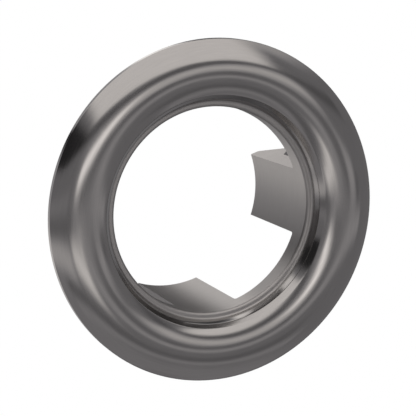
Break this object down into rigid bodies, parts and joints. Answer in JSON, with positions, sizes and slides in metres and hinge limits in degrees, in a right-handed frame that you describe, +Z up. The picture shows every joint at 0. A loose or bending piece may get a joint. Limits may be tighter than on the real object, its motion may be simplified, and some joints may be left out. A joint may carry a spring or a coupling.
{
  "type": "basin overflow cover",
  "caption": "Round trim ring that covers the edge of a basin's overflow hole, with a rounded face, an open bore and barbed snap legs behind.",
  "frame": {"origin": "centre of the flange's flat back plane, on the bore's axis, where the ring seats on the basin", "axes": "+Y along the axis, away from the face and into the overflow hole; +Z up; one snap leg points along +X and one along +Z"},
  "size_m": [0.03, 0.013, 0.03],
  "materials": {
    "gunmetal_plating": "satin gunmetal plating"
  },
  "bodies": {
    "root": {"overflow_cover": "gunmetal_plating"}
  },
  "joints": []
}
